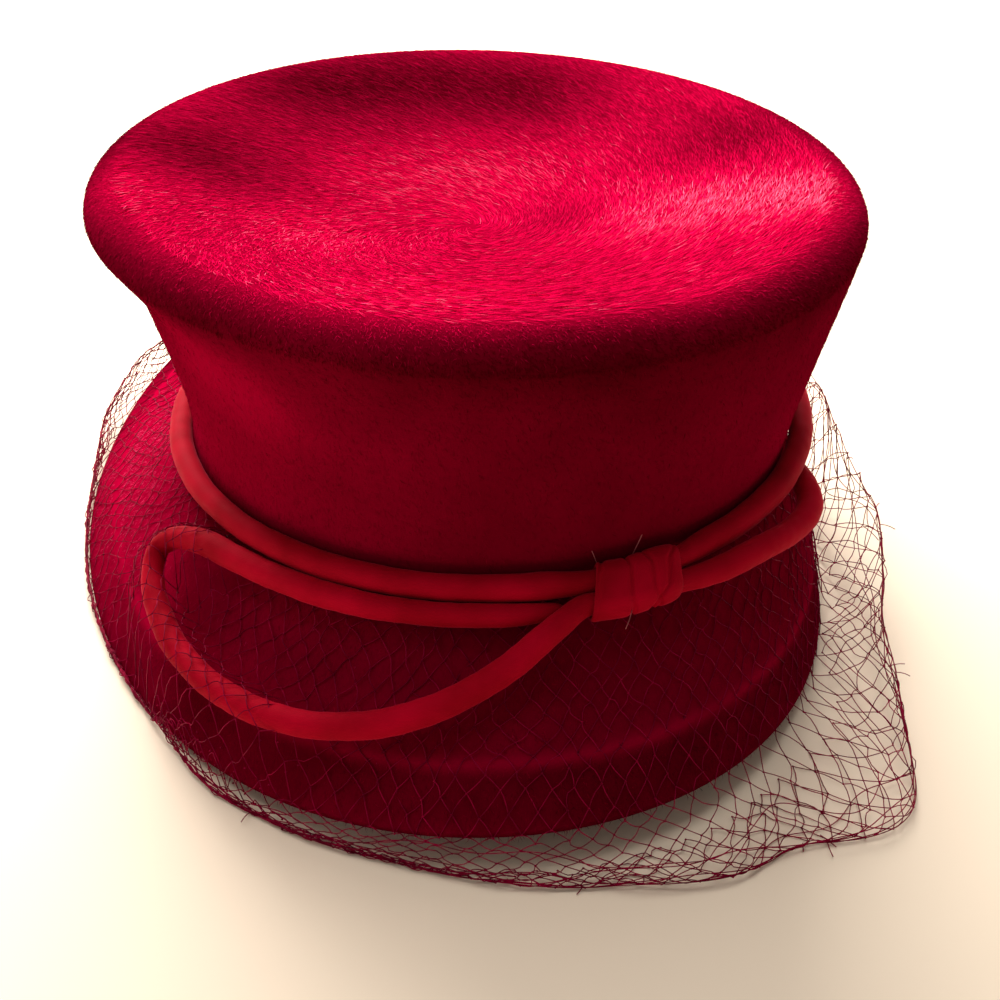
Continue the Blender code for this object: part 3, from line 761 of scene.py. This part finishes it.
def rouleau(name, path, thickness, closed, seed):
    """A rolled cord: a tube whose radius swells and pinches a little along it, with slanting
    creases of the twisted cloth and one sewn seam along it. Open ends are rounded."""
    length = length_along(path)[:, None]
    turn = (np.arange(CORD_ROUND) * 2 * np.pi / CORD_ROUND)[None]
    phase = np.random.default_rng(seed).uniform(0, 6.28, 6)
    total = length[-1, 0]
    if closed:
        total += np.linalg.norm(path[0] - path[-1])
    wave = 2 * np.pi * length / total
    swell = sum(share * np.sin(waves * wave + round_it * turn + phase[number])
                for number, (share, waves, round_it) in enumerate(SWELLS))
    crease = (CREASE * np.sin(CREASE_WAVES * wave + CREASE_ROUND * turn + phase[3])
              * np.cos(CREASE_FADES * wave + phase[4]))
    beside = turn - SEAM_PLACE - SEAM_SWAY * np.sin(4 * wave)
    beside = np.mod(beside + np.pi, 2 * np.pi) - np.pi
    seam = -SEAM * np.exp(-(beside / SEAM_WIDTH) ** 2)
    radius = CORD / 2 * thickness[:, None] * (CORD_FULL + swell + crease + seam)
    if not closed:
        ends = np.minimum(length, total - length) / (CORD / 2)
        radius = radius * np.sqrt(np.clip(1 - (1 - np.clip(ends, 0.02, 1)) ** 2, 0, 1))
    rows = tube(path, radius, CORD_ROUND, closed)
    points = rows.reshape(-1, 3)
    faces = rings_to_faces(len(rows), CORD_ROUND, closed).tolist()
    if not closed:
        points = np.vstack([points, path[0], path[-1]])
        ring = np.arange(CORD_ROUND)
        following = (ring + 1) % CORD_ROUND
        base = (len(rows) - 1) * CORD_ROUND
        first, last = np.full(CORD_ROUND, len(points) - 2), np.full(CORD_ROUND, len(points) - 1)
        faces += np.stack([first, following, ring], -1).tolist()
        faces += np.stack([last, base + ring, base + following], -1).tolist()
    return outward(solid_mesh(name, points + STAND, faces))


def evenly(path, values, steps, closed):
    """The same path and values at even distances along it."""
    length = length_along(path)
    even = np.linspace(0, length[-1], steps, endpoint=not closed)
    return through(even, length, path), through(even, length, values)


BAND_STEPS, ROUTE_STEPS, LOOP_STEPS = 600, 62, 700
LEG_SWELL = 0.10                  # the upper leg fills out against the band, as a share
LEG_MIDDLE, LEG_REACH = 0.058, 0.042   # metres along the cord
CORD_SHADE, CORD_GLOW = (0.290, 0.0, 0.0070), (0.480, 0.0, 0.016)

cord_cloth = cloth_material("cord_cloth", CORD_SHADE, CORD_GLOW)
degrees = np.linspace(-180, 180, 4 * 360 + 1)
path, thickness = evenly(band_point(degrees), 1 - (1 - SQUEEZE) * in_knot(degrees),
                         BAND_STEPS, True)
band = rouleau("band_rouleau", path, thickness, True, 3)
band.data.materials.append(cord_cloth)
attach(band, "root")
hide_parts("band_cord")

knot = [(angle, KNOT_SHARE, (WRAP + GAP) / CORD, SQUEEZE)
        for angle in np.linspace(KNOT_FROM - KNOT_MOUTH, KNOT_TO + KNOT_MOUTH, 5)]
table = np.array(list(LOOP_ROUTE) + knot + list(TAIL_ROUTE), float)
path, thickness = evenly(loop_point(*table.T), table[:, 3], ROUTE_STEPS, False)
loop_path, thickness = evenly(path, thickness, LOOP_STEPS, False)
loop_length = length_along(loop_path)
swell = LEG_SWELL * np.exp(-((loop_length - LEG_MIDDLE) / LEG_REACH) ** 4)
loop = rouleau("loop_rouleau", loop_path, thickness + swell, False, 5)
loop.data.materials.append(cord_cloth)
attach(loop, "root")
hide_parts("loop_cord")


# Knot wrap. A short length of the same strip, wound round both cords so that it binds them, with
# the folds of its turns showing as dark lines, and a few thread ends left by the sewing.
WRAP_ROWS, WRAP_ROUND = 110, 64
PUFF, FOLD_BITE = 0.16, 0.62      # swelling between folds, and the folds' cut, in walls
THIN_FROM, THIN_BY = 0.80, 0.75   # share of the length where it thins out, and by how much
END_ROUND, END_WALL = 0.05, 0.45  # rounded share of the length at each end, and the wall left there
FOLDS = (  # share of the wrap's length, slant, depth in walls, width as a share of the length
    (0.02, 0.05, 0.9, 0.030),
    (0.40, -0.05, 1.1, 0.028),
    (0.66, -0.10, 0.9, 0.024),
    (0.84, 0.16, 1.0, 0.026),
)
stations = np.linspace(KNOT_FROM, KNOT_TO, WRAP_ROWS)
upper = band_point(stations)
lower = loop_point(stations, np.full(WRAP_ROWS, KNOT_SHARE),
                   np.full(WRAP_ROWS, (WRAP + GAP) / CORD), SQUEEZE)
ahead = np.gradient(upper + lower, axis=0)
across = upper - lower
half = np.linalg.norm(across, axis=-1, keepdims=True) / 2
across = across / (2 * half)
facing = np.cross(ahead, across)
facing /= np.linalg.norm(facing, axis=-1, keepdims=True)
turn = (np.arange(WRAP_ROUND) + 0.5) * 2 * np.pi / WRAP_ROUND
bore = CORD * SQUEEZE / 2 + 2 * GAP
along = np.linspace(0, 1, WRAP_ROWS)[:, None]


def wrap_wall():
    """The wall's thickness: puffed between the folds, pulled in at each by a narrow bell, and
    thinned out towards the right, where the turns run into the cords."""
    wall = WRAP * (1.05 + PUFF * np.sin(9 * along + 2 * np.sin(turn)[None]))
    for place, slant, depth, width in FOLDS:
        bell = np.exp(-((along - place - slant * np.sin(turn)[None]) / width) ** 2)
        wall = wall - WRAP * depth * FOLD_BITE * bell
    ends = np.clip(np.minimum(along, 1 - along) / END_ROUND, 0, 1)
    thin = 1 - THIN_BY * np.clip((along - THIN_FROM) / (1 - THIN_FROM), 0, 1) ** 2
    return wall * thin * (END_WALL + (1 - END_WALL) * np.sqrt(1 - (1 - ends) ** 2))


def wrap_section(radius):
    """A long round section: two half rings centred on the two cords, with straight sides."""
    side = np.sign(np.sin(turn))[None, :, None] * half[:, None]
    swing = radius[..., None] * np.stack([np.cos(turn), np.sin(turn)], -1)[None]
    middle = ((upper + lower) / 2)[:, None]
    return middle + facing[:, None] * swing[..., :1] + across[:, None] * (swing[..., 1:] + side)


rings = np.concatenate([wrap_section(bore + wrap_wall()),
                        wrap_section(np.full((WRAP_ROWS, WRAP_ROUND), bore))[::-1]])
wrap = outward(solid_mesh("knot_wrap_cloth", rings.reshape(-1, 3) + STAND,
                          rings_to_faces(len(rings), WRAP_ROUND, True).tolist()))
wrap.data.materials.append(cord_cloth)
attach(wrap, "root")
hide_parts("knot_wrap")


ASIDE = np.array([0.12, 0.07, 0.99])   # a direction that no strand runs along


def strands(path, radius):
    """Three-sided tubes through rows of points, one row for each, closed at both ends: points and
    faces."""
    steps = path.shape[1]
    ahead = np.gradient(path, axis=1)
    ahead /= np.linalg.norm(ahead, axis=-1, keepdims=True) + 1e-12
    side = np.cross(ahead, ASIDE)
    side /= np.linalg.norm(side, axis=-1, keepdims=True) + 1e-12
    top = np.cross(side, ahead)
    turn = np.arange(3) * 2 * np.pi / 3
    ring = (path[:, :, None] + radius * (np.cos(turn)[:, None] * side[:, :, None]
                                         + np.sin(turn)[:, None] * top[:, :, None]))
    first = np.arange(len(path))[:, None] * steps * 3
    sides = [[r * 3 + k, r * 3 + (k + 1) % 3, r * 3 + 3 + (k + 1) % 3, r * 3 + 3 + k]
             for r in range(steps - 1) for k in range(3)]
    faces = np.concatenate([first + side for side in np.array(sides)])
    last = steps * 3 - 3
    caps = np.concatenate([first + [2, 1, 0], first + [last, last + 1, last + 2]])
    return ring.reshape(-1, 3), faces.tolist() + caps.tolist()


def thread_material(name, colour):
    """Fine twisted thread: a noise between its colour and a darker one, half as bright."""
    material, nodes, links, thread = surfaced(name, Roughness=0.55, Specular_IOR_Level=0.05)
    place = nodes.new("ShaderNodeTexCoord")
    noise = nodes.new("ShaderNodeTexNoise")
    noise.inputs["Scale"].default_value = 260
    links.new(place.outputs["Object"], noise.inputs["Vector"])
    ramp = two_tones(nodes, 0.35, 0.5 * np.array(colour), 0.65, colour)
    links.new(noise.outputs["Fac"], ramp.inputs["Fac"])
    links.new(ramp.outputs["Color"], thread.inputs["Base Color"])
    return material


THREAD, THREAD_PINK = 0.00028, (0.55, 0.13, 0.13)
THREAD_SWAY, THREAD_CURL = 0.3, 2.4   # its bend aside in lengths, and the arc of that in radians
THREAD_ENDS = (  # share of the wrap's length, turn round it in degrees, length, lean along it
    (0.02, 80, 0.0050, -0.6),
    (0.46, 75, 0.0055, 0.5),
    (0.42, 290, 0.0045, -0.5),
)
outer = wrap_section(bore + wrap_wall())
route = []
for share, around, length, lean in THREAD_ENDS:
    place = round(share * (WRAP_ROWS - 1))
    foot = outer[place, round(around / 360 * WRAP_ROUND)]
    away = foot - ((upper + lower) / 2)[place]
    way = away / np.linalg.norm(away) + lean * ahead[place] / np.linalg.norm(ahead[place])
    reach = np.linspace(0, length, 5)[:, None]
    curl = THREAD_SWAY * length * np.sin(THREAD_CURL * reach / length)
    route.append(foot + way * reach + facing[place] * curl)
points, faces = strands(np.array(route), THREAD / 2)
threads = outward(solid_mesh("wrap_threads", points + STAND, faces))
threads.data.materials.append(thread_material("wrap_threads", THREAD_PINK))
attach(threads, "root")


# Veil. Fine knotted net, gathered under the band and laid over the brim. It stands off the brim's
# edge, comes to a point at the right front, and turns back under itself at its hem, where it
# bunches up.
VEIL_REACH, VEIL_RISE = 0.0350, 0.0340
VEIL_EDGE = (  # angle, share of the reach, of the rise, and of the reach near the brim's edge
    (-180, 0.00, 0.05, 0.00),
    (-150, 0.02, 0.03, 0.00),
    (-135, 0.10, 0.00, 0.03),
    (-115, 0.05, 0.00, 0.02),
    (-100, 0.14, 0.00, 0.02),
    (-85, 0.31, 0.00, 0.04),
    (-70, 0.60, 0.00, 0.10),
    (-55, 0.97, 0.02, 0.20),
    (-40, 0.42, 0.32, 0.22),
    (-31, 0.50, 0.48, 0.25),
    (-15, 0.28, 0.80, 0.15),
    (-5, 0.30, 0.94, 0.12),
    (20, 0.18, 0.60, 0.08),
    (60, 0.12, 0.36, 0.05),
    (90, 0.12, 0.30, 0.05),
    (130, 0.12, 0.26, 0.05),
    (147, 0.12, 0.21, 0.06),
    (161, 0.02, 0.12, 0.00),
    (180, 0.00, 0.05, 0.00),
)
STRAND, NET_PLUM = 0.00028, (0.32, 0.0, 0.032)
VEIL_COLUMNS = 116
BRIM_NET_ROWS, FREE_ROWS, UNDER_ROWS = 14, 8, 5
NET_START = 0.05                  # share of the brim's run where the net comes out from the band
NET_OFF, NET_LOOSE = 0.00045, 0.0007   # how far off the felt, at the least, and where it is loose
HEM_OFF, LOWEST = 0.0006, 0.0004  # clear of the brim's edge, and of the table
BULGE = 0.0016


def ripple(first, second, seed, count=9, finest=26):
    """A smooth random wave over two values: a sum of sines of random pitch and phase."""
    chance = np.random.default_rng(seed)
    total = np.zeros(np.broadcast(first, second).shape)
    for _ in range(count):
        turns, climb = chance.integers(3, finest), chance.uniform(-0.9, 0.9)
        total += np.sin(turns * first + climb * second + chance.uniform(0, 6.28)) / count ** 0.5
    return total


def veil_point(angle, row):
    """The net's surface. Rows 0 to BRIM_NET_ROWS lie on the brim, the next FREE_ROWS run out by
    the reach and up by the rise to the hem, and the last UNDER_ROWS come back beneath them over
    three quarters of that way."""
    angle, row = np.broadcast_arrays(angle, row)
    degrees = (np.degrees(angle) + 180) % 360 - 180
    on_brim = np.clip(row / BRIM_NET_ROWS, 0, 1)
    share = NET_START + (1 - NET_START) * on_brim
    loose = NET_OFF + NET_LOOSE * np.clip(ripple(angle, row, 11), 0, 2)
    base = off(brim_top, angle, np.clip(share, 0, 0.9999), loose)
    edge = brim_top(angle, np.ones_like(angle))
    out = edge[..., :2] / np.linalg.norm(edge[..., :2], axis=-1, keepdims=True)
    free = np.clip((row - BRIM_NET_ROWS) / FREE_ROWS, 0, 1)
    back = np.clip((row - BRIM_NET_ROWS - FREE_ROWS) / UNDER_ROWS, 0, 1)
    reach = VEIL_REACH * column(VEIL_EDGE, 1, degrees)
    rise = VEIL_RISE * column(VEIL_EDGE, 2, degrees)
    near = VEIL_REACH * column(VEIL_EDGE, 3, degrees)
    start = base[..., 2]
    run = reach * (1 - (1 - free) ** 1.6) + near * np.sin(np.pi * free) * 0.5
    height = start + (rise + HEM_OFF - start) * free ** 1.3
    run = run * (1 - 0.75 * back) + HEM_OFF
    under = np.minimum(rise * 0.25, start) + HEM_OFF
    height = height + (under - height) * back ** 0.8 * (back > 0)
    bulge = BULGE * ripple(angle, row, 23) * (free > 0) * np.clip(reach / 0.01, 0.10, 1)
    plan = edge[..., :2] + out * (run + bulge)[..., None]
    flying = with_height(plan, np.maximum(height + 0.6 * bulge, LOWEST))
    return np.where((row > BRIM_NET_ROWS)[..., None], flying, base)


VEILED_FROM, VEILED_TO, VEILED_EASE = 0.100, 0.185, 0.012   # along the loop's cord
COVER = CORD / 2 + 0.0007         # from the cord's middle to the net over it
SLANT_FROM, SLANT_TOP = 0.707, 1.414   # in covers: where the 45 degrees start, and their height
BEND_REACH = 2.2                  # in covers: how far beside the cord the net is lifted


def over_the_bend(points):
    """Lifts the net over the loop's left bend: round over the cord's top, and down at 45 degrees
    beside it, fading out where the cord comes out from under the net."""
    bend = (loop_length > VEILED_FROM - VEILED_EASE) & (loop_length < VEILED_TO + VEILED_EASE)
    middle, at = loop_path[bend], loop_length[bend]
    far = np.linalg.norm(points[..., None, :2] - middle[:, :2], axis=-1)
    nearest, far = far.argmin(-1), far.min(-1)
    round_top = np.sqrt(np.clip(COVER ** 2 - far ** 2, 0, None))
    tall = np.where(far < SLANT_FROM * COVER, round_top, SLANT_TOP * COVER - far)
    fade = np.clip(np.minimum(at - VEILED_FROM, VEILED_TO - at)[nearest] / VEILED_EASE + 1, 0, 1)
    fade = fade * np.clip(BEND_REACH - far / COVER, 0, 1)
    top = middle[nearest][..., 2] + tall
    lifted = points.copy()
    lifted[..., 2] += fade * np.clip(top - points[..., 2], 0, None)
    return lifted


def together(*parts):
    """Several lots of points and faces as one."""
    points, faces, here = [], [], 0
    for some, others in parts:
        points.append(some)
        faces += [[index + here for index in face] for face in others]
        here += len(some)
    return np.concatenate(points), faces


# Knots in rows and columns, each drifting a little, with strands between that bow sideways.
SHIFT, SLIP, SAG = 0.22, 0.26, 0.00035   # in columns, in rows, in metres
rows = BRIM_NET_ROWS + FREE_ROWS + UNDER_ROWS + 1
step = 2 * np.pi / VEIL_COLUMNS
dice = np.random.default_rng(31)
row = np.arange(rows)[:, None]
angle = step * (np.arange(VEIL_COLUMNS)[None] + row % 2 / 2)
shift = SHIFT * step * (ripple(angle, row, 41) + dice.normal(0, 0.3, angle.shape))
slip = SLIP * ripple(angle, row, 43) + dice.normal(0, 0.07, angle.shape)
slip = slip * (row > 0) * (row < rows - 1)
knots = over_the_bend(veil_point(angle + shift, row + slip))
place = np.arange(VEIL_COLUMNS)
starts, ends = [], []
for r in range(rows - 1):
    for side in (0, 1):
        other = (place + (side if r % 2 else side - 1)) % VEIL_COLUMNS
        starts.append(knots[r, place])
        ends.append(knots[r + 1, other])
starts, ends = np.concatenate(starts), np.concatenate(ends)
share = np.array([0, 1 / 3, 2 / 3, 1])[:, None]
mesh_path = starts[:, None] * (1 - share) + ends[:, None] * share
sag = dice.normal(0, SAG, starts.shape)[:, None] * np.array([0, 1, 0.8, 0])[:, None]
mesh_path = over_the_bend(mesh_path + sag * [1, 1, 0.2])

# The hem is gathered on loose threads that run round it, with a few frayed ends.
HEM_LINES = (  # row, how far it wanders in rows, its ripple's seed
    (19.8, 1.2, 51),
    (20.8, 1.0, 52),
    (21.5, 0.7, 53),
    (22.0, 0.4, 54),
    (22.8, 0.9, 55),
    (17.6, 1.6, 56),
)
round_trip = np.linspace(-np.pi, np.pi, 720)
hem_path = np.array([veil_point(round_trip, at + wander * ripple(round_trip, 0 * round_trip, seed))
                     for at, wander, seed in HEM_LINES])

LOOSE_ENDS, LOOSE_LENGTH, LOOSE_FALL = 20, 0.0030, 0.0015
outermost = BRIM_NET_ROWS + FREE_ROWS
at_the_point = dice.uniform(-75, -20, LOOSE_ENDS // 2)
elsewhere = dice.uniform(-150, 60, LOOSE_ENDS // 2)
where = np.radians(np.concatenate([at_the_point, elsewhere]))
root = veil_point(where, outermost + dice.uniform(-1, 1, LOOSE_ENDS))
way = np.stack([np.cos(where), np.sin(where), 0 * where], -1) + dice.normal(0, 0.7, root.shape)
share = np.linspace(0, 1, 4)[:, None]
length = (LOOSE_LENGTH * dice.uniform(0.3, 1, LOOSE_ENDS))[:, None, None]
loose_path = root[:, None] + way[:, None] * share * length
loose_path[..., 2] = np.maximum(loose_path[..., 2] - LOOSE_FALL * share[..., 0] ** 2, LOWEST)

# Each knot of the mesh is a bead with six corners.
KNOT_SIZE = 0.00034
corners = KNOT_SIZE * np.array([[1, 0, 0], [0, 1, 0], [-1, 0, 0], [0, -1, 0],
                                [0, 0, 1], [0, 0, -1]])
knot_points = (knots.reshape(-1, 1, 3) + corners).reshape(-1, 3)
eight = np.array([[0, 1, 4], [1, 2, 4], [2, 3, 4], [3, 0, 4],
                  [1, 0, 5], [2, 1, 5], [3, 2, 5], [0, 3, 5]])
first = np.arange(knots.shape[0] * knots.shape[1])[:, None, None] * len(corners)
knot_faces = (first + eight).reshape(-1, 3).tolist()
points, faces = together(strands(mesh_path, STRAND / 2), strands(hem_path, STRAND / 2),
                         strands(loose_path, STRAND / 2), (knot_points, knot_faces))
veil = outward(solid_mesh("veil_net", points + STAND, faces))
veil.data.materials.append(thread_material("veil_net", NET_PLUM))
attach(veil, "root")
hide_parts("veil")
